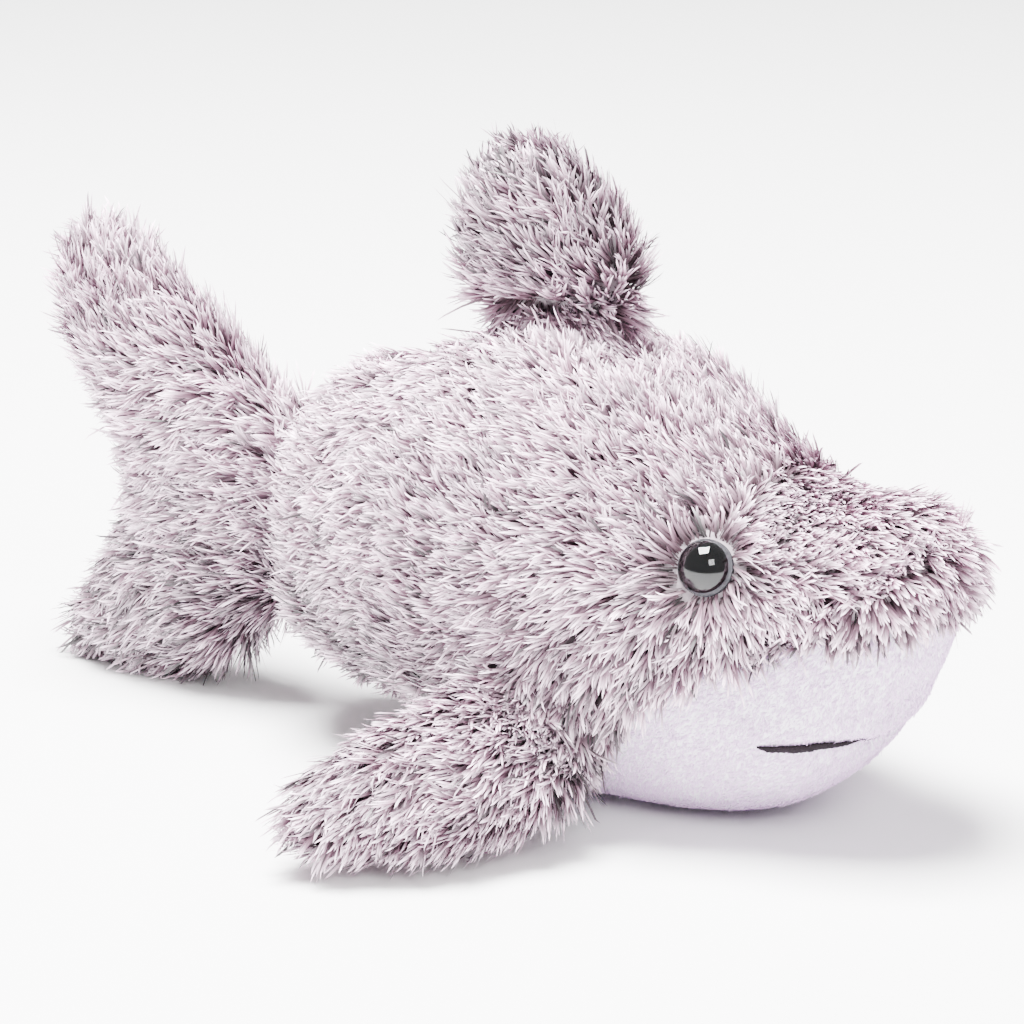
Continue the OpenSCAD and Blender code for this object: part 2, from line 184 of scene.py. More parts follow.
class Eye:
    """Place of one eye: middle of its pupil, the way that it faces, and radius of the bare spot."""

    def __init__(self, side):
        self.middle = node_middle(side + "_eye_pupil")
        self.out = unit(self.middle - node_middle(side + "_eye_washer"))
        low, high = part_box(side + "_eye_post")
        self.radius = (high.x - low.x) / 2 * PLATE_ROOM


eyes = {s: Eye(s) for s in SIDES}
nose_x = cad_high.x
tail_hinge = np.array(joints["tail_swing"]["pos_m"])
dorsal_hinge = np.array(joints["dorsal_flop"]["pos_m"])
pectoral_hinge = {s: np.array(joints[s + "_pectoral_flap"]["pos_m"]) for s in SIDES}
pectoral_out = {s: unit(node_middle(s + "_pectoral_stuffing") - pectoral_hinge[s]) for s in SIDES}

# ---- Materials -----------------------------------------------------------

def group_socket(group, name, kind, way, value=None):
    socket = group.interface.new_socket(name=name, in_out=way, socket_type=kind)
    if value is not None:
        socket.default_value = value
    return socket


def smooth_rise(n, link, value, low, high):
    """Mask that goes from 0 to 1 as value goes from low to high."""
    rise = n.new("ShaderNodeMapRange")
    rise.interpolation_type = "SMOOTHSTEP"
    rise.inputs["From Min"].default_value = low
    rise.inputs["From Max"].default_value = high
    link(value, rise.inputs["Value"])
    return rise.outputs[0]


def colour_mix(n, link, mask, first, second):
    """Colour that goes from first to second as the mask goes from 0 to 1."""
    mix = n.new("ShaderNodeMix")
    mix.data_type = "RGBA"
    link(mask, mix.inputs["Factor"])
    link(first, mix.inputs["A"])
    link(second, mix.inputs["B"])
    return mix.outputs["Result"]


def frosted_fibre_group():
    """Colour of a dyed fibre: dyed dark at its root, darkened there further as painted shade deep in the
    pile, and frosted at its tip; lighter or darker by its tone, which also holds painted light and shade.

    The fibre's UV holds its tone across and its place from root to tip along.
    """
    g = bpy.data.node_groups.new("frosted_fibre", "ShaderNodeTree")
    group_socket(g, "Root", "NodeSocketColor", "INPUT", (0.3, 0.25, 0.28, 1))
    group_socket(g, "Middle", "NodeSocketColor", "INPUT", (0.6, 0.55, 0.6, 1))
    group_socket(g, "Tip", "NodeSocketColor", "INPUT", (0.9, 0.87, 0.9, 1))
    group_socket(g, "Spread", "NodeSocketFloat", "INPUT", 0.3)
    group_socket(g, "Color", "NodeSocketColor", "OUTPUT")
    group_socket(g, "Roughness", "NodeSocketFloat", "OUTPUT")
    n, link = g.nodes, g.links.new
    start, end = n.new("NodeGroupInput"), n.new("NodeGroupOutput")
    uv = n.new("ShaderNodeUVMap")
    uv.uv_map = "OFBake"
    split = n.new("ShaderNodeSeparateXYZ")
    link(uv.outputs["UV"], split.inputs[0])
    # root to middle: dark dye, with painted shade deep in the pile at the root
    low = smooth_rise(n, link, split.outputs["Y"], 0.15, 0.75)
    high = smooth_rise(n, link, split.outputs["Y"], 0.58, 1.0)
    below = colour_mix(n, link, low, start.outputs["Root"], start.outputs["Middle"])
    dyed = colour_mix(n, link, high, below, start.outputs["Tip"])
    tone = n.new("ShaderNodeMath")
    tone.operation = "SUBTRACT"
    link(split.outputs["X"], tone.inputs[0])
    tone.inputs[1].default_value = 0.5
    scaled = n.new("ShaderNodeMath")
    scaled.operation = "MULTIPLY_ADD"
    link(tone.outputs[0], scaled.inputs[0])
    link(start.outputs["Spread"], scaled.inputs[1])
    scaled.inputs[2].default_value = 1.0
    shade = n.new("ShaderNodeVectorMath")
    shade.operation = "SCALE"
    link(dyed, shade.inputs[0])
    link(scaled.outputs[0], shade.inputs["Scale"])
    link(shade.outputs[0], end.inputs["Color"])
    rough = n.new("ShaderNodeMapRange")
    rough.inputs["To Min"].default_value = 0.80
    rough.inputs["To Max"].default_value = 0.36
    link(split.outputs["Y"], rough.inputs["Value"])
    link(rough.outputs[0], end.inputs["Roughness"])
    return g


def knit_backing_group():
    """Knitted backing cloth: fine loops with cloudy dye."""
    g = bpy.data.node_groups.new("knit_backing", "ShaderNodeTree")
    group_socket(g, "Light", "NodeSocketColor", "INPUT", (0.6, 0.55, 0.6, 1))
    group_socket(g, "Dark", "NodeSocketColor", "INPUT", (0.3, 0.25, 0.3, 1))
    group_socket(g, "Loops", "NodeSocketFloat", "INPUT", 900.0)
    group_socket(g, "Color", "NodeSocketColor", "OUTPUT")
    group_socket(g, "Height", "NodeSocketFloat", "OUTPUT")
    n, link = g.nodes, g.links.new
    start, end = n.new("NodeGroupInput"), n.new("NodeGroupOutput")
    place = n.new("ShaderNodeTexCoord")
    cells = n.new("ShaderNodeTexVoronoi")
    link(place.outputs["Object"], cells.inputs["Vector"])
    link(start.outputs["Loops"], cells.inputs["Scale"])
    cloud = n.new("ShaderNodeTexNoise")
    cloud.inputs["Scale"].default_value = 60
    cloud.inputs["Detail"].default_value = 6
    link(place.outputs["Object"], cloud.inputs["Vector"])
    blend = n.new("ShaderNodeMath")
    blend.operation = "MULTIPLY"
    link(cells.outputs["Distance"], blend.inputs[0])
    link(cloud.outputs["Fac"], blend.inputs[1])
    dyed = colour_mix(n, link, blend.outputs[0], start.outputs["Light"], start.outputs["Dark"])
    link(dyed, end.inputs["Color"])
    link(cells.outputs["Distance"], end.inputs["Height"])
    return g


FROSTED = frosted_fibre_group()
BACKING = knit_backing_group()


def new_material(name):
    mat = bpy.data.materials.new(name)
    mat.use_nodes = True
    return mat, mat.node_tree.nodes, mat.node_tree.links.new, mat.node_tree.nodes["Principled BSDF"]


def rgb(r, g, b):
    return (r, g, b, 1)


def fibre_material(name, root, middle, tip, spread, gloss):
    """Pile fibre, where spread is how far its tones differ."""
    mat, n, link, bsdf = new_material(name)
    fibre = n.new("ShaderNodeGroup")
    fibre.node_tree = FROSTED
    fibre.inputs["Root"].default_value = root
    fibre.inputs["Middle"].default_value = middle
    fibre.inputs["Tip"].default_value = tip
    fibre.inputs["Spread"].default_value = spread
    link(fibre.outputs["Color"], bsdf.inputs["Base Color"])
    link(fibre.outputs["Roughness"], bsdf.inputs["Roughness"])
    bsdf.inputs["Specular IOR Level"].default_value = gloss
    return mat


LOOP_RELIEF = 0.3 * MM


def cloth_material(name, light, dark, loops, roughness=0.9, bump=0.3):
    """Knitted cloth or stitched thread, with so many loops to a metre."""
    mat, n, link, bsdf = new_material(name)
    knit = n.new("ShaderNodeGroup")
    knit.node_tree = BACKING
    knit.inputs["Light"].default_value = light
    knit.inputs["Dark"].default_value = dark
    knit.inputs["Loops"].default_value = loops
    link(knit.outputs["Color"], bsdf.inputs["Base Color"])
    relief = n.new("ShaderNodeBump")
    relief.inputs["Strength"].default_value = bump
    relief.inputs["Distance"].default_value = LOOP_RELIEF
    link(knit.outputs["Height"], relief.inputs["Height"])
    link(relief.outputs[0], bsdf.inputs["Normal"])
    bsdf.inputs["Roughness"].default_value = roughness
    bsdf.inputs["Specular IOR Level"].default_value = 0.15
    return mat


def plastic_material(name, colour, roughness, grain=0.02, gloss=0.5):
    """Moulded plastic, with a faint uneven polish."""
    mat, n, link, bsdf = new_material(name)
    place = n.new("ShaderNodeTexCoord")
    noise = n.new("ShaderNodeTexNoise")
    noise.inputs["Scale"].default_value = 700
    noise.inputs["Detail"].default_value = 3
    link(place.outputs["Object"], noise.inputs["Vector"])
    polish = n.new("ShaderNodeMapRange")
    polish.inputs["To Min"].default_value = max(roughness - grain, 0)
    polish.inputs["To Max"].default_value = roughness + grain
    link(noise.outputs["Fac"], polish.inputs["Value"])
    link(polish.outputs[0], bsdf.inputs["Roughness"])
    tint = n.new("ShaderNodeMix")
    tint.data_type = "RGBA"
    tint.inputs["A"].default_value = colour
    tint.inputs["B"].default_value = tuple(c * 0.93 for c in colour[:3]) + (1,)
    link(noise.outputs["Fac"], tint.inputs["Factor"])
    link(tint.outputs["Result"], bsdf.inputs["Base Color"])
    bsdf.inputs["Specular IOR Level"].default_value = gloss
    return mat


# root colour: dark dye, made darker still as painted shade deep in the pile
shaggy_pile = fibre_material("shaggy_grey_pile", rgb(0.050, 0.023, 0.033), rgb(0.215, 0.118, 0.165),
                             rgb(0.85, 0.655, 0.775), 1.9, 0.6)
short_pile = fibre_material("short_white_pile", rgb(0.66, 0.455, 0.70), rgb(0.74, 0.525, 0.78),
                            rgb(0.80, 0.585, 0.84), 0.08, 0.2)
grey_backing = cloth_material("grey_backing_cloth", rgb(0.36, 0.30, 0.335), rgb(0.20, 0.16, 0.18), 1100)
white_backing = cloth_material("white_backing_cloth", rgb(0.84, 0.80, 0.88), rgb(0.74, 0.70, 0.79), 1100)
thread_dark = cloth_material("mouth_thread", rgb(0.012, 0.008, 0.011), rgb(0.005, 0.004, 0.005),
                             2500, 0.95, 0.6)
pupil_black = plastic_material("pupil_black", rgb(0.001, 0.001, 0.0012), 1.0, gloss=0.0)
plate_dark = plastic_material("eye_plate_dark", rgb(0.05, 0.05, 0.056), 0.9, gloss=0.0)
washer_white = plastic_material("washer_natural", rgb(0.75, 0.75, 0.72), 0.5)


def clear_dome_material():
    """Clear acrylic dome that casts no shadow on the pupil and the plate under it."""
    mat = plastic_material("clear_dome", rgb(0.98, 0.98, 1.0), 0.02, 0.01, gloss=0.3)
    n, link = mat.node_tree.nodes, mat.node_tree.links.new
    bsdf = n["Principled BSDF"]
    bsdf.inputs["Transmission Weight"].default_value = 1.0
    bsdf.inputs["IOR"].default_value = 1.49
    path = n.new("ShaderNodeLightPath")
    clear = n.new("ShaderNodeBsdfTransparent")
    mix = n.new("ShaderNodeMixShader")
    link(path.outputs["Is Shadow Ray"], mix.inputs["Fac"])
    link(bsdf.outputs[0], mix.inputs[1])
    link(clear.outputs[0], mix.inputs[2])
    link(mix.outputs[0], n["Material Output"].inputs["Surface"])
    return mat


eye_clear = clear_dome_material()

# ---- Padded form ---------------------------------------------------------

BODY_NODES = ["body_stuffing", "right_side_cover", "left_side_cover", "right_muzzle_cover",
              "left_muzzle_cover", "belly_cover"]
FIN_NODES = {
    "tail": ["tail_stuffing", "tail_right_cover", "tail_left_cover"],
    "dorsal": ["dorsal_stuffing", "dorsal_right_cover", "dorsal_left_cover"],
}
for side in SIDES:
    FIN_NODES[side + "_pectoral"] = [f"{side}_pectoral_{part}"
                                     for part in ("stuffing", "top_cover", "bottom_cover")]
PANEL_OF = {"right_side_cover": "right_flank", "left_side_cover": "left_flank",
            "right_muzzle_cover": "right_muzzle", "left_muzzle_cover": "left_muzzle",
            "belly_cover": "chin"}
for fin, members in FIN_NODES.items():
    for member in members[1:]:
        PANEL_OF[member] = fin

VOXEL = 2.6 * MM
PILE_DEPTH = 4.4 * MM       # laid shaggy pile over its backing
FIN_DEPTH = 3.2 * MM        # the same on the fins
CHIN_DEPTH = 0.9 * MM       # laid short pile over its backing
PLATE_DROP = 1.9 * MM       # cloth behind an eye, under the middle of its pupil
PLATE_REACH = 10 * MM       # how far off that plane the cloth is drawn to it
SWELL_CAP = 1.0 * MM        # most that the filling lifts the cloth
SWELL_STEPS = 12
SKIN_FLOOR = 0.7 * MM       # lowest place of the skin over the ground
CLOTH_THICK = 0.8 * MM


def largest_shell(mesh):
    """Marks the points of the biggest connected part of a mesh."""
    count = len(mesh.vertices)
    label = np.arange(count)
    edges = mesh_edges(mesh)
    while True:
        low = np.minimum(label[edges[:, 0]], label[edges[:, 1]])
        after = label.copy()
        np.minimum.at(after, edges[:, 0], low)
        np.minimum.at(after, edges[:, 1], low)
        after = after[after]
        if (after == label).all():
            break
        label = after
    co = mesh_points(mesh)
    sizes = {k: np.ptp(co[label == k], axis=0).sum() for k in np.unique(label)}
    keep = max(sizes, key=sizes.get)
    return label == keep


def sub_mesh(title, co, faces, chosen):
    """Mesh of the chosen faces, with only the points that they use."""
    used = np.zeros(len(co), bool)
    picked = [faces[i] for i in chosen]
    for f in picked:
        used[list(f)] = True
    index = np.cumsum(used) - 1
    mesh = bpy.data.meshes.new(title)
    mesh.from_pydata(co[used].tolist(), [], [[int(index[i]) for i in f] for f in picked])
    return mesh


def whole_form():
    """Outer form of the whole toy at the top of its pile, with the fins grown into the body."""
    names = BODY_NODES + [n for members in FIN_NODES.values() for n in members]
    names += [s + "_eye_" + part for s in SIDES for part in ("lens", "pupil", "post")]
    mesh, _, _ = joined_mesh(names, "form")
    obj = new_object("form", mesh)
    mod = obj.modifiers.new("one_skin", "REMESH")
    mod.mode = "VOXEL"
    mod.voxel_size = VOXEL
    applied(obj)
    keep = largest_shell(obj.data)
    co = mesh_points(obj.data)
    faces = [tuple(p.vertices) for p in obj.data.polygons]
    chosen = [i for i, f in enumerate(faces) if keep[f[0]]]
    obj.data = sub_mesh("form", co, faces, chosen)
    return obj


cover_names = list(PANEL_OF)
cover_mesh, cover_faces, cover_owner = joined_mesh(cover_names, "covers")
cover_tree = BVHTree.FromPolygons([Vector(p) for p in mesh_points(cover_mesh)], cover_faces)


def panel_at(points):
    """The panel whose cover is nearest to each point."""
    found = [cover_tree.find_nearest(Vector(p))[2] for p in points]
    return np.array([PANEL_OF[cover_owner[i]] for i in found])


def swell(obj, cap):
    """Blows the cloth up over its filling, by less than cap anywhere."""
    before = mesh_points(obj.data)
    cloth = obj.modifiers.new("filling", "CLOTH")
    cloth.settings.quality = 4
    cloth.settings.mass = 0.1
    cloth.settings.tension_stiffness = 25
    cloth.settings.compression_stiffness = 25
    cloth.settings.shear_stiffness = 10
    cloth.settings.bending_stiffness = 0.4
    cloth.settings.use_pressure = True
    cloth.settings.uniform_pressure_force = 4
    cloth.settings.effector_weights.gravity = 0
    cloth.collision_settings.use_collision = False
    scene = bpy.context.scene
    for number in range(1, SWELL_STEPS + 1):
        scene.frame_set(number)
    applied(obj)
    after = mesh_points(obj.data)
    scene.frame_set(1)
    move = after - before
    size = np.linalg.norm(move, axis=1, keepdims=True)
    move *= cap * np.tanh(size / cap) / np.maximum(size, 1e-9)
    set_points(obj.data, before + move)


def padded_form():
    """The sewn and filled skin of the whole toy, under its pile."""
    obj = whole_form()
    mesh = obj.data
    edges = mesh_edges(mesh)
    co = relaxed(mesh_points(mesh), edges, 3)
    set_points(mesh, co)
    panel = panel_at(co)
    depth = np.where(np.isin(panel, list(FIN_NODES)), FIN_DEPTH, PILE_DEPTH)
    depth = relaxed(np.where(panel == "chin", CHIN_DEPTH, depth), edges, 1)
    steps = 4
    for _ in range(steps):
        normal = relaxed(mesh_normals(mesh), edges, 2)
        co = mesh_points(mesh) - unit(normal) * (depth / steps)[:, None]
        set_points(mesh, relaxed(co, edges, 1, 0.3))
    co = mesh_points(mesh)
    for eye in eyes.values():          # the cloth is pulled flat behind each eye
        off = co - eye.middle
        along = off @ eye.out
        radial = np.linalg.norm(off - along[:, None] * eye.out, axis=1)
        near = 1 - smoothstep(eye.radius, eye.radius * 1.7, radial)
        near *= (np.abs(along) < PLATE_REACH)
        co = co + (near * (-PLATE_DROP - along))[:, None] * eye.out
    set_points(mesh, co)
    swell(obj, SWELL_CAP)
    co = mesh_points(obj.data)
    co[:, 2] = np.maximum(co[:, 2], SKIN_FLOOR)
    set_points(obj.data, relaxed(co, mesh_edges(obj.data), 1, 0.3))
    smooth = obj.modifiers.new("smooth", "SUBSURF")
    smooth.levels = smooth.render_levels = 1
    return applied(obj)


form = padded_form()
form_co = mesh_points(form.data)
form_no = mesh_normals(form.data)
form_faces = [tuple(p.vertices) for p in form.data.polygons]
quads = np.array([f if len(f) == 4 else (f[0], f[1], f[2], f[2]) for f in form_faces])
face_middle = form_co[quads].mean(1)
face_panel = panel_at(face_middle)


SEAM_PULL = 1.2             # mm along every seam, before it is evened out
CREASE_PULL = 7             # mm more along the crease behind the muzzle
MUZZLES = ["right_muzzle", "left_muzzle"]


def seam_groove():
    """Points of the form, pulled in along the seams between panels."""
    points = len(form_co)
    first = np.full(points, "", dtype=face_panel.dtype)
    seam, crease = np.zeros(points), np.zeros(points)
    muzzle = np.isin(face_panel, MUZZLES)
    for k in range(4):
        corner = quads[:, k]
        other = first[corner]
        split = (other != "") & (other != face_panel)
        seam[corner[split]] = 1
        beside = muzzle & (other != "chin")
        beside |= np.isin(other, MUZZLES) & (face_panel != "chin")
        crease[corner[split & beside]] = 1
        first[corner] = face_panel
    edges = mesh_edges(form.data)
    off_middle = np.abs(form_co[:, 1]) > 5 * MM
    pull = relaxed(seam, edges, 2) * SEAM_PULL + relaxed(crease, edges, 7) * CREASE_PULL * off_middle
    pull = relaxed(pull, edges, 2)
    return form_co - form_no * (pull * MM)[:, None]


def mouth_line():
    """Middle of the stitched mouth on the chin's cloth, from its right end to its left end."""
    co = mesh_points(nodes["mouth_stitching"].data)
    order = np.argsort(co[:, 1])
    co = co[order]
    cuts = np.linspace(co[0, 1], co[-1, 1], 30)
    line = []
    for y in cuts:
        near = np.abs(co[:, 1] - y) < 1.6 * MM
        part = co[near]
        line.append((part[:, 0].max(), y, (part[:, 2].min() + part[:, 2].max()) / 2))
    return np.array(line)


def resampled(line, count):
    """A line of points at count even steps."""
    steps = np.linspace(0, len(line) - 1, count)
    return np.stack([np.interp(steps, np.arange(len(line)), line[:, k]) for k in range(3)], 1)


def mouth_crease(points):
    """Points of the form, drawn in along the mouth, with a fuller lip over it."""
    line = resampled(mouth_line(), 60)
    tree = KDTree(len(line))
    for i, p in enumerate(line):
        tree.insert(Vector(p), i)
    tree.balance()
    move = np.zeros(len(points))
    for i in np.nonzero((points[:, 0] > 75 * MM) & (points[:, 2] < 45 * MM))[0]:
        near, _, gap = tree.find(Vector(points[i]))
        above = (points[i][2] - near.z) / MM
        crease = 1.7 * math.exp(-(gap / (1.7 * MM)) ** 2)
        lip = -0.7 * math.exp(-((above - 5) / 4) ** 2) * math.exp(-max(gap / MM - 5, 0) / 6)
        move[i] = crease + lip
    move = relaxed(move, mesh_edges(form.data), 2)
    return points - form_no * (move * MM)[:, None]


form_co = mouth_crease(seam_groove())
set_points(form.data, form_co)
form_no = mesh_normals(form.data)

# ---- Skins ---------------------------------------------------------------

SKINS = {
    "right_flank": ("right_flank_skin", grey_backing, "grey_pile", "body",
                    ["right_side_cover", "body_stuffing"]),
    "left_flank": ("left_flank_skin", grey_backing, "grey_pile", "body", ["left_side_cover"]),
    "right_muzzle": ("right_muzzle_skin", grey_backing, "grey_pile", "body", ["right_muzzle_cover"]),
    "left_muzzle": ("left_muzzle_skin", grey_backing, "grey_pile", "body", ["left_muzzle_cover"]),
    "chin": ("chin_and_belly_skin", white_backing, "white_pile", "body", ["belly_cover"]),
    "tail": ("tail_skin", grey_backing, "grey_pile", "tail", FIN_NODES["tail"]),
    "dorsal": ("dorsal_skin", grey_backing, "grey_pile", "dorsal", FIN_NODES["dorsal"]),
    "right_pectoral": ("right_pectoral_skin", grey_backing, "grey_pile", "right_pectoral",
                       FIN_NODES["right_pectoral"]),
    "left_pectoral": ("left_pectoral_skin", grey_backing, "grey_pile", "left_pectoral",
                      FIN_NODES["left_pectoral"]),
}


def place_piece(obj, body):
    """Body pieces ride on the body; other pieces stay where they are, with their place applied to their
    mesh.
    """
    if body == "body":
        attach(obj, "body")
    else:
        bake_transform(obj)


def make_skins():
    """One hemmed skin for each panel, cut from the form."""
    for panel, (name, material, slot, body, stands_for) in SKINS.items():
        chosen = np.nonzero(face_panel == panel)[0]
        mesh = sub_mesh(name, form_co, form_faces, chosen)
        obj = new_object(name, mesh)
        mesh.shade_smooth()
        mesh.materials.append(material)
        hem = obj.modifiers.new("cloth_thickness", "SOLIDIFY")
        hem.thickness = CLOTH_THICK
        hem.offset = -1
        applied(obj)
        place_piece(obj, body)
        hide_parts(*stands_for)


make_skins()

# ---- Combing -------------------------------------------------------------

def mirrored(p):
    """Points brought to the right side, where the combing is laid out."""
    q = p.copy()
    q[:, 1] = -np.abs(q[:, 1])
    return q


EYE_SPOT = eyes["right"].middle


def comb_body(p, n):
    """Way the body's pile lies, its length and how far it stands up."""
    q = mirrored(p) / MM
    eye = EYE_SPOT / MM
    x, y, z = q.T
    from_nose = nose_x / MM - x
    away = q - eye
    away[:, 1] = 0
    spread = unit(away)
    rear = np.stack([-np.ones_like(x), 0 * x, 0.10 + 0 * x], 1)
    far = smoothstep(35, 110, -away[:, 0])
    lay = spread * (1 - far)[:, None] + rear * far[:, None]
    up_front = np.stack([0.9 + 0 * x, 0.25 * np.sign(y), 0.35 + 0 * x], 1)
    high = (smoothstep(56, 68, z) * smoothstep(52, 34, from_nose))[:, None]
    lay = lay * (1 - high) + up_front * high
    cheek = (smoothstep(52, 36, z) * smoothstep(-44, -6, away[:, 0]))[:, None]
    down = np.stack([-0.10 + 0 * x, 0 * x, -1 + 0 * x], 1)
    lay = lay * (1 - cheek) + down * cheek
    length = 8.6 + 2.2 * cheek[:, 0] - 2.6 * high[:, 0]
    lift = 25 + 3 * high[:, 0] + 8 * cheek[:, 0]
    under = smoothstep(26, 8, z) * smoothstep(40, 10, x)
    length = length - 3.5 * under
    lift = lift - 12 * under
    hollow = smoothstep(17, 7, np.hypot(x - 84, z - 78))
    length = length - 2.6 * hollow
    # parted along the root of the dorsal fin
    along = np.clip(x, -10, 40)
    fin = smoothstep(13, 7, np.hypot(x - along, y)) * (z > 80)
    length = length * (1 - 0.30 * fin)
    lift = lift - 8 * fin
    lay = lay + np.stack([0 * x, -0.8 * fin, 0 * x], 1)
    lay[:, 1] *= np.where(p[:, 1] > 0, -1, 1)
    return lay, length * MM, lift


SEAM_X = [30, 57, 76, 97, 112, 122]
SEAM_Z = [10, 22, 30, 39, 42, 44]


def over_seam(x, z):
    """How near a place is to the seam over the chin, from 0 to 1 (mm)."""
    return smoothstep(11, 3, z - np.interp(x, SEAM_X, SEAM_Z))


def comb_muzzle(p, n):
    x, _, z = mirrored(p).T / MM
    tip = smoothstep(14, 3, nose_x / MM - x)[:, None]
    side = np.where(p[:, 1] > 0, 1, -1)
    down = np.stack([0.06 + 0 * x, 0 * x, -1 + 0 * x], 1)
    fan = np.stack([0.6 + 0 * x, side * 0.25, (z - 60) / 11], 1)
    lay = down * (1 - tip) + fan * tip
    fringe = over_seam(x, z)
    return lay, (6.8 + 2.4 * fringe + 1.0 * tip[:, 0]) * MM, 36 - 8 * fringe + 6 * tip[:, 0]


def edge_of(n, thin):
    """0 on the flat faces of a fin, whose thickness lies along thin, and 1 round its edge."""
    return smoothstep(0.25, 0.85, 1 - np.abs(n @ np.asarray(thin)))


def comb_tail(p, n):
    q = (p - tail_hinge) / MM
    back = -q[:, 0]
    lay = np.stack([-np.ones(len(q)), 0 * back, q[:, 2] / 55 * smoothstep(5, 45, back)], 1)
    return lay, (9.5 + 0 * back) * MM, 24 + 22 * edge_of(n, (0, 1, 0))


def comb_dorsal(p, n):
    q = (p - dorsal_hinge) / MM
    side = np.where(q[:, 1] > 0, 1, -1)
    skirt = smoothstep(-1.5, -6, q[:, 2])[:, None]
    up = np.stack([-0.35 + q[:, 0] / 60, 0 * side, np.ones(len(q))], 1)
    out = np.stack([q[:, 0] / 24, side * 0.9, -0.5 * np.ones(len(q))], 1)
    lay = up * (1 - skirt) + out * skirt
    skirt = skirt[:, 0]
    edge = edge_of(n, (0, 1, 0))
    foot = smoothstep(7, -3, q[:, 2])
    return lay, (8.6 + 1.0 * foot) * MM, 26 + 20 * edge * (1 + foot) + 6 * foot


def comb_pectoral(side):
    thin = unit(np.cross(pectoral_out[side], [1.0, 0, 0]))

    def comb(p, n):
        lay = np.tile(pectoral_out[side], (len(p), 1))
        lay = lay + np.array([-0.15, 0, -0.30])
        return lay, np.full(len(p), 9.0 * MM), 24 + 20 * edge_of(n, thin)
    return comb


def comb_chin(p, n):
    count = len(p)
    return np.tile([-0.6, 0, -0.8], (count, 1)), np.full(count, 1.3 * MM), np.full(count, 12.0)


# ---- Pile ----------------------------------------------------------------

triangles = np.concatenate([quads[:, [0, 1, 2]], quads[:, [0, 2, 3]]])
triangle_panel = np.concatenate([face_panel, face_panel])
RING_PLACES = np.array([0, 0.3, 0.6, 0.88, 1.0])      # from a strand's root to its tip
RINGS = len(RING_PLACES)
NO_EYE = 99.0               # stands for "far from any eye"
EYE_BARE = 1.04             # no strand is rooted nearer than this, in eye radii
EYE_CLEAR = 1.06            # and none reaches nearer than this
PILE_FLOOR = 0.3 * MM       # lowest place of a strand over the ground
PILE_FOLD = 0.5 * MM        # under this height a strand folds back up a little


def spots(panel, per_mm2, rng):
    """Root points spread over a panel, with their normals."""
    chosen = triangles[triangle_panel == panel]
    a, b, c = (form_co[chosen[:, i]] for i in range(3))
    area = np.linalg.norm(np.cross(b - a, c - a), axis=1) / 2
    total = int(area.sum() / MM ** 2 * per_mm2)
    pick = rng.choice(len(chosen), total, p=area / area.sum())
    u, v = rng.random(total), rng.random(total)
    over = u + v > 1
    u[over], v[over] = 1 - u[over], 1 - v[over]
    w = np.stack([1 - u - v, u, v], 1)[:, :, None]
    corner = chosen[pick]
    return (form_co[corner] * w).sum(1), unit((form_no[corner] * w).sum(1))


def eye_shade(p):
    """Distance from the nearer eye's axis, in eye radii, and the way out from it."""
    best = np.full(len(p), NO_EYE)
    way = np.zeros_like(p)
    for eye in eyes.values():
        off = p - eye.middle
        along = off @ eye.out
        flat = off - along[:, None] * eye.out
        radial = np.linalg.norm(flat, axis=1)
        share = np.where(along > -7 * MM, radial / eye.radius, NO_EYE)
        front = flat @ np.array([0.80, 0, -0.60]) > 0.35 * radial
        share = share + np.where(front, 0.20, 0)
        near = share < best
        best = np.where(near, share, best)
        way[near] = (flat / np.maximum(radial, 1e-9)[:, None])[near]
    return best, way


def shade(p):
    """Painted light and shade in the pile's tone: painted light on the back and the top of the snout,
    painted shade low down and on the dorsal fin.
    """
    x, y, z = p.T / MM
    low = smoothstep(62, 18, z) * (1 - 0.8 * smoothstep(44, 54, np.abs(y)))
    fin = smoothstep(104, 112, z) * (x > -30)
    back = smoothstep(60, 90, z) * (1 - fin)
    snout = smoothstep(82, 98, x) * smoothstep(50, 62, z)
    return 0.04 - 0.26 * low - 0.15 * fin + 0.09 * back + 0.12 * snout


def tufts(root, normal, comb, wander, curl, rng):
    """Paths of the tufts from their roots, their headings, side vectors, lengths and swings."""
    lay, length, lift = comb(root, normal)
    count = len(root)
    # each tuft turns a little, with slow waves over the whole panel
    turn = np.radians(wander * rng.normal(size=count) + 20 * waves(root / MM, 9, 11) +
                      12 * waves(root / MM, 3.5, 12))
    lay = unit(lay - normal * (lay * normal).sum(1, keepdims=True))
    side = np.cross(normal, lay)
    lay = lay * np.cos(turn)[:, None] + side * np.sin(turn)[:, None]
    side = np.cross(normal, lay)
    length = length * rng.uniform(0.78, 1.2, count) * (1 + 0.10 * waves(root / MM, 6, 13))
    lift = np.clip(lift + rng.normal(size=count) * 6 + 7 * waves(root / MM, 5, 14), 8, 75)
    bend_way = rng.normal(size=count) * curl
    swing = rng.uniform(0, 2 * np.pi, count)
    # it leaves the backing steeply and lies over
    path = np.zeros((count, RINGS, 3))
    heading = np.zeros((count, RINGS, 3))
    here = np.zeros((count, 3))
    for k, place in enumerate(RING_PLACES):
        before = RING_PLACES[max(k - 1, 0)]
        mid = (place + before) / 2
        angle = np.radians(lift + 38 * (1 - mid) ** 2 - 16 * mid)
        turned = lay + side * (bend_way * (mid - 0.3) * 1.6)[:, None]
        way = unit(turned) * np.cos(angle)[:, None] + normal * np.sin(angle)[:, None]
        way[:, 2] -= 0.10 * mid
        way = unit(way)
        here = here + way * (length * (place - before))[:, None]
        path[:, k] = here
        heading[:, k] = way
    return path, heading, side, length, swing


def cleared(path):
    """Strands kept clear of the eyes and above the surface that the toy stands on."""
    for k in range(1, RINGS):
        share, way = eye_shade(path[:, k])
        push = np.clip(EYE_CLEAR - share, 0, 1) * eyes["right"].radius
        path[:, k] += way * push[:, None]
    height = path[:, :, 2]
    folded = np.where(height < PILE_FOLD, PILE_FOLD - 0.12 * (height - PILE_FOLD), height)
    path[:, :, 2] = np.maximum(folded, PILE_FLOOR)
    return path


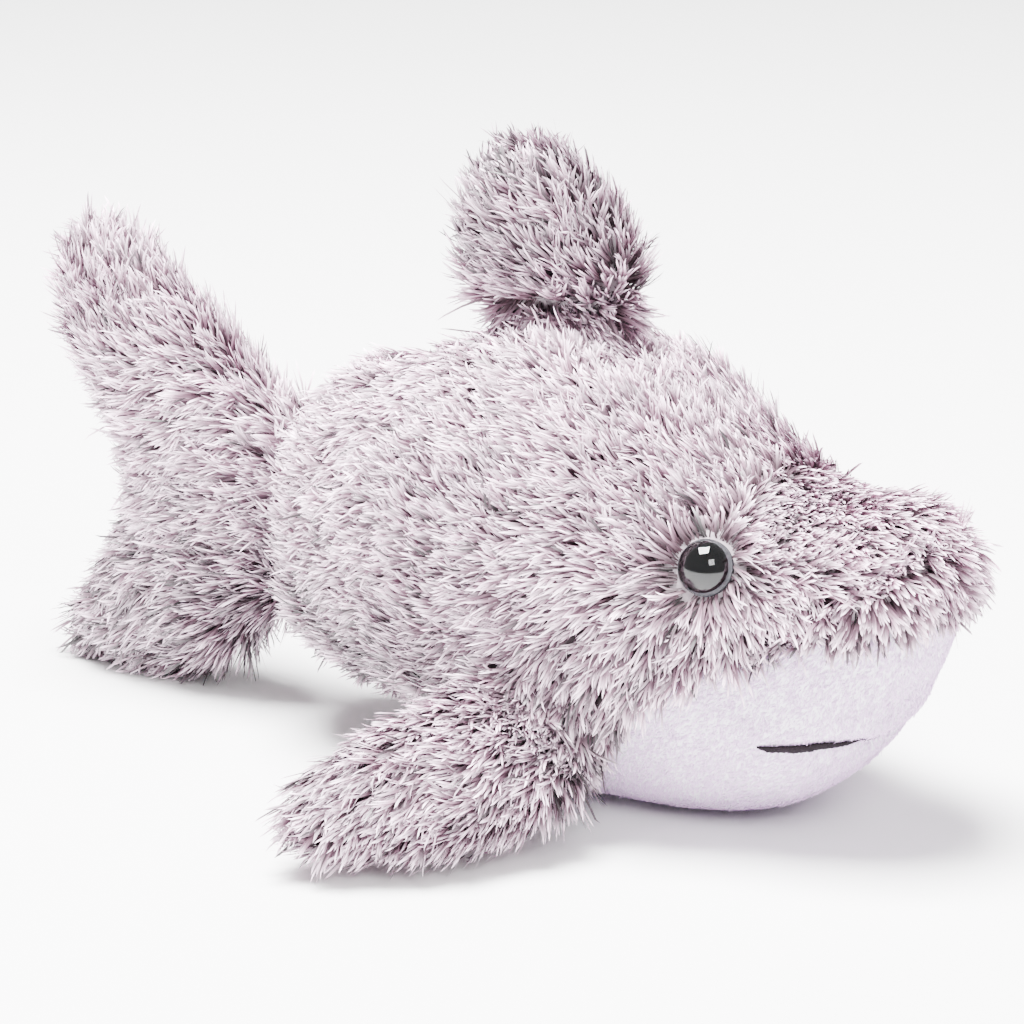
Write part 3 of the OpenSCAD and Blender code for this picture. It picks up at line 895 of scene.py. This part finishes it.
def pile(panel, comb, per_mm2, tuft_mm2, width, seed, gather=0.6, curl=0.45, wander=9, fray=0.02):
    """Strands of one panel: paths (count, rings, 3), side vectors, widths and tones."""
    rng = np.random.default_rng(seed)
    root, normal = spots(panel, per_mm2, rng)
    tuft_root, tuft_normal = spots(panel, tuft_mm2, rng)
    share, _ = eye_shade(root)
    keep = share > EYE_BARE
    root, normal = root[keep], normal[keep]
    tree = KDTree(len(tuft_root))
    for i, p in enumerate(tuft_root):
        tree.insert(p, i)
    tree.balance()
    own = np.array([tree.find(p)[1] for p in root])
    tuft_path, heading, side, length, swing = tufts(tuft_root, tuft_normal, comb, wander, curl, rng)
    # strands follow their tuft and gather towards its tip
    count = len(root)
    long = rng.uniform(0.72, 1.08, count)
    stray = rng.random(count) < fray
    long[stray] *= rng.uniform(1.05, 1.3, stray.sum())
    offset = root - tuft_root[own]
    pull = np.where(stray, gather * 0.2, gather * rng.uniform(0.8, 1.1, count))
    jitter = np.clip(rng.normal(size=(count, 3)), -1.4, 1.4) * 0.15
    path = np.zeros((count, RINGS, 3))
    for k, place in enumerate(RING_PLACES):
        grown = tuft_path[own, k] * long[:, None]
        close = (pull * place ** 0.75)[:, None]
        wave = np.sin(swing[own] + 5.0 * place)[:, None] * side[own] * (0.35 * MM * place)
        loose = jitter * (length[own, None] * place ** 1.5) * np.where(stray, 2.0, 0.7)[:, None]
        path[:, k] = tuft_root[own] + grown + offset * (1 - close) + wave + loose
    path = cleared(path)
    roll = rng.uniform(-0.9, 0.9, count)
    across = unit(np.cross(heading[own, 2], normal))
    across = unit(across * np.cos(roll)[:, None] + normal * np.sin(roll)[:, None])
    wide = width * rng.uniform(0.7, 1.3, count)
    uneven = 0.17 * rng.normal(size=len(tuft_root))[own] + 0.17 * rng.normal(size=count)
    # tone: random differences between tufts and strands, plus the painted light and shade of shade()
    tone = np.clip(0.5 + uneven + shade(root), 0.02, 0.98)
    return path, across, wide, tone


def strand_mesh(title, path, across, wide, tone):
    """Tapered ribbons along the strands, with tone and place along the strand as their UV."""
    n = len(path)
    rings = path.shape[1]
    taper = np.array([0.7, 1.0, 1.0, 0.8])[:rings - 1]
    verts = np.zeros((n, 2 * (rings - 1) + 1, 3), np.float32)
    for k in range(rings - 1):
        half = across * (wide * taper[k] / 2)[:, None]
        verts[:, 2 * k] = path[:, k] - half
        verts[:, 2 * k + 1] = path[:, k] + half
    verts[:, -1] = path[:, -1]
    per = verts.shape[1]
    base = (np.arange(n) * per)[:, None]
    quad_local = np.array([[2 * k, 2 * k + 1, 2 * k + 3, 2 * k + 2] for k in range(rings - 2)])
    last = 2 * (rings - 2)
    tri_local = np.array([last, last + 1, last + 2])
    loops = np.concatenate([(base + quad_local.ravel()[None, :]), base + tri_local[None, :]], 1)
    sizes = np.tile(np.array([4] * (rings - 2) + [3]), n)
    mesh = bpy.data.meshes.new(title)
    mesh.vertices.add(n * per)
    mesh.vertices.foreach_set("co", verts.ravel())
    mesh.loops.add(loops.size)
    mesh.loops.foreach_set("vertex_index", loops.ravel().astype(np.int32))
    mesh.polygons.add(len(sizes))
    starts = np.concatenate([[0], np.cumsum(sizes)[:-1]])
    mesh.polygons.foreach_set("loop_start", starts.astype(np.int32))
    mesh.update(calc_edges=True)
    mesh.shade_smooth()
    layer = mesh.uv_layers.new(name="OFBake")
    half = 0.006
    local_u = np.array([-half, half] * (rings - 1) + [0])
    local_v = np.array([RING_PLACES[k] for k in range(rings - 1) for _ in (0, 1)] + [1])
    order = np.concatenate([quad_local.ravel(), tri_local])
    u = np.clip(tone, half, 1 - half)[:, None] + local_u[order][None, :]
    v = np.broadcast_to(0.01 + 0.98 * local_v[order][None, :], u.shape)
    layer.data.foreach_set("uv", np.stack([u, v], 2).astype(np.float32).ravel())
    return mesh


PIECE_STRANDS = 27000     # most strands in one piece


def plant(panel, name, comb, per_mm2, tuft_mm2, width, seed, material, slot, body, **how):
    """Makes the pile of one panel, as pieces from nose to tail."""
    path, across, wide, tone = pile(panel, comb, per_mm2, tuft_mm2, width, seed, **how)
    order = np.argsort(-path[:, 0, 0], kind="stable")
    parts = math.ceil(len(order) / PIECE_STRANDS)
    for i, chosen in enumerate(np.array_split(order, parts)):
        title = name if parts == 1 else f"{name}_{i + 1}"
        mesh = strand_mesh(title, path[chosen], across[chosen], wide[chosen], tone[chosen])
        mesh.materials.append(material)
        obj = new_object(title, mesh)
        place_piece(obj, body)


GREY = dict(material=shaggy_pile, slot="grey_pile")
DENSE = 3.0                 # strands to a square millimetre
TUFTS = 0.75                # tufts to a square millimetre
STRAND = 0.50 * MM          # width of a strand
for i, side in enumerate(SIDES):
    plant(side + "_flank", side + "_flank_pile", comb_body, DENSE, TUFTS, STRAND, 100 + i,
          body="body", **GREY)
    plant(side + "_muzzle", side + "_muzzle_pile", comb_muzzle, DENSE, TUFTS * 0.85, 0.62 * MM, 110 + i,
          body="body", gather=0.7, curl=0.25, **GREY)
    plant(side + "_pectoral", side + "_pectoral_pile", comb_pectoral(side), DENSE, TUFTS, STRAND, 120 + i,
          body=side + "_pectoral", **GREY)
plant("tail", "tail_pile", comb_tail, DENSE, TUFTS, STRAND, 130, body="tail", **GREY)
plant("dorsal", "dorsal_pile", comb_dorsal, DENSE, TUFTS, STRAND, 140, body="dorsal", **GREY)
plant("chin", "chin_and_belly_pile", comb_chin, 5.0, 3.0, 0.17 * MM, 150, gather=0.2, curl=0.15, wander=7,
      fray=0.01, material=short_pile, slot="white_pile", body="body")

# ---- Mouth ---------------------------------------------------------------

form_tree = BVHTree.FromPolygons([Vector(p) for p in form_co], form_faces)


THREAD_PLACES = [0, 0.35, 0.5, 0.7, 0.84, 0.95, 1.0]        # from the mouth's middle to its end
THREAD_WIDTHS = [0.25, 0.35, 1.2, 2.1, 2.3, 1.6, 0.2]       # mm, there


def make_mouth():
    """Raised satin-stitched thread along the mouth, broad near its ends and fine in its middle."""
    count, sides = 260, 10
    points = resampled(mouth_line(), count)
    edges = np.stack([np.arange(count - 1), np.arange(1, count)], 1)
    points = relaxed(points, edges, 12)
    width = np.interp(np.abs(np.linspace(-1, 1, count)), THREAD_PLACES, THREAD_WIDTHS) * MM
    verts, faces = [], []
    for i, p in enumerate(points):
        spot, normal, _, _ = form_tree.find_nearest(Vector(p))
        ahead = Vector(points[min(i + 1, count - 1)] - points[max(i - 1, 0)]).normalized()
        up = normal.cross(ahead).normalized()
        stitch = 1 + 0.10 * math.sin(i * 2.4) + 0.05 * math.sin(i * 1.1)
        high = width[i] * stitch / 2
        for j in range(sides):
            a = 2 * math.pi * j / sides
            rise = math.sin(a) * (0.2 * MM + high * 0.35) + min(high, 0.8 * MM)
            verts.append(spot + normal * rise + up * (math.cos(a) * high))
    for i in range(count - 1):
        for j in range(sides):
            a, b = i * sides + j, i * sides + (j + 1) % sides
            faces.append((a, b, b + sides, a + sides))
    faces.append(tuple(range(sides)))
    faces.append(tuple((count - 1) * sides + j for j in reversed(range(sides))))
    mesh = bpy.data.meshes.new("mouth_thread")
    mesh.from_pydata(verts, [], faces)
    mesh.shade_smooth()
    mesh.materials.append(thread_dark)
    obj = new_object("mouth_thread", mesh)
    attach(obj, "body")
    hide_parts("mouth_stitching")


make_mouth()
bpy.data.objects.remove(form)

# ---- Eyes ----------------------------------------------------------------

LET_IN = 0.35 * MM          # how far a dome is let into its plate
FOOT_SHARE = 0.985          # radius of the let-in foot, over the rim's


def make_dome(side):
    """Solid clear dome, let a little into the plate under it so that no air lies between them."""
    lens = mesh_points(nodes[side + "_eye_lens"].data)
    out = eyes[side].out
    across = unit(np.cross(out, [0, 0, 1]))
    up = np.cross(out, across)
    height = lens @ out
    base, top = height.min(), height.max()
    middle = node_middle(side + "_eye_pupil")
    middle = middle + out * (base - middle @ out)
    rim = np.linalg.norm(lens - middle - ((lens - middle) @ out)[:, None] * out, axis=1).max()
    rise = top - base
    ball = (rim ** 2 + rise ** 2) / (2 * rise)
    turns, rows = 64, 20
    full = math.acos(1 - rise / ball) if rise < ball else math.pi / 2
    verts, faces = [], []
    profile = [(rim * FOOT_SHARE, -LET_IN)]
    for k in range(rows):
        a = full * (1 - k / rows)
        profile.append((ball * math.sin(a), rise - ball + ball * math.cos(a)))
    for r, h in profile:
        for t in range(turns):
            a = 2 * math.pi * t / turns
            verts.append(middle + out * h + (across * math.cos(a) + up * math.sin(a)) * r)
    for k in range(len(profile) - 1):
        for t in range(turns):
            u = (t + 1) % turns
            faces.append((k * turns + t, k * turns + u, (k + 1) * turns + u, (k + 1) * turns + t))
    verts.append(middle + out * rise)
    verts.append(middle - out * LET_IN)
    last = (len(profile) - 1) * turns
    for t in range(turns):
        u = (t + 1) % turns
        faces.append((last + t, last + u, len(verts) - 2))
        faces.append((u, t, len(verts) - 1))
    mesh = bpy.data.meshes.new(side + "_clear_dome")
    mesh.from_pydata([tuple(v) for v in verts], [], faces)
    mesh.shade_smooth()
    mesh.materials.append(eye_clear)
    obj = new_object(side + "_clear_dome", mesh)
    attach(obj, "body")
    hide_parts(side + "_eye_lens")


for side in SIDES:
    for part, material in (("pupil", pupil_black), ("post", plate_dark), ("washer", washer_white)):
        mesh = nodes[side + "_eye_" + part].data
        mesh.materials.clear()
        mesh.materials.append(material)
    make_dome(side)

# ---- Studio --------------------------------------------------------------

def make_camera():
    """A long lens, to the right of the nose and a little above it."""
    azimuth, elevation, distance = math.radians(35), math.radians(16), 0.95
    aim = Vector((0.00322, 0.00379, 0.05439))
    back = Vector((math.sin(azimuth) * math.cos(elevation),
                   -math.cos(azimuth) * math.cos(elevation),
                   math.sin(elevation)))
    data = bpy.data.cameras.new("camera")
    data.sensor_width = 36
    data.lens = 150.4
    camera = bpy.data.objects.new("camera", data)
    bpy.context.scene.collection.objects.link(camera)
    camera.location = aim + back * distance
    camera.rotation_mode = "QUATERNION"
    camera.rotation_quaternion = (-back).to_track_quat("-Z", "Y")
    bpy.context.scene.camera = camera


TOY_MIDDLE = Vector((0, 0, 0.05))


def area_light(name, place, size, power):
    """Soft white light that faces the toy's middle."""
    data = bpy.data.lights.new(name, "AREA")
    data.shape = "RECTANGLE"
    data.size, data.size_y = size
    data.energy = power
    lamp = bpy.data.objects.new(name, data)
    bpy.context.scene.collection.objects.link(lamp)
    lamp.location = place
    lamp.rotation_mode = "QUATERNION"
    lamp.rotation_quaternion = (TOY_MIDDLE - Vector(place)).to_track_quat("-Z", "Y")


def make_studio():
    """Plain pale floor, pale surroundings, a large light overhead and a weaker one at the side."""
    mesh = bpy.data.meshes.new("floor")
    half = 6
    mesh.from_pydata([(-half, -half, 0), (half, -half, 0), (half, half, 0), (-half, half, 0)],
                     [], [(0, 1, 2, 3)])
    floor = new_object("floor", mesh)
    mat, _, _, bsdf = new_material("studio_floor")
    bsdf.inputs["Base Color"].default_value = rgb(0.93, 0.93, 0.93)
    bsdf.inputs["Roughness"].default_value = 0.9
    mesh.materials.append(mat)
    world = bpy.data.worlds.new("studio")
    bpy.context.scene.world = world
    world.use_nodes = True
    world.node_tree.nodes["Background"].inputs["Color"].default_value = rgb(1, 1, 1)
    world.node_tree.nodes["Background"].inputs["Strength"].default_value = 0.75
    area_light("key", (-0.15, -0.1, 1.3), (0.7, 0.7), 190)
    area_light("window", (0.75, -0.55, 0.75), (0.42, 0.42), 12)


make_camera()
make_studio()
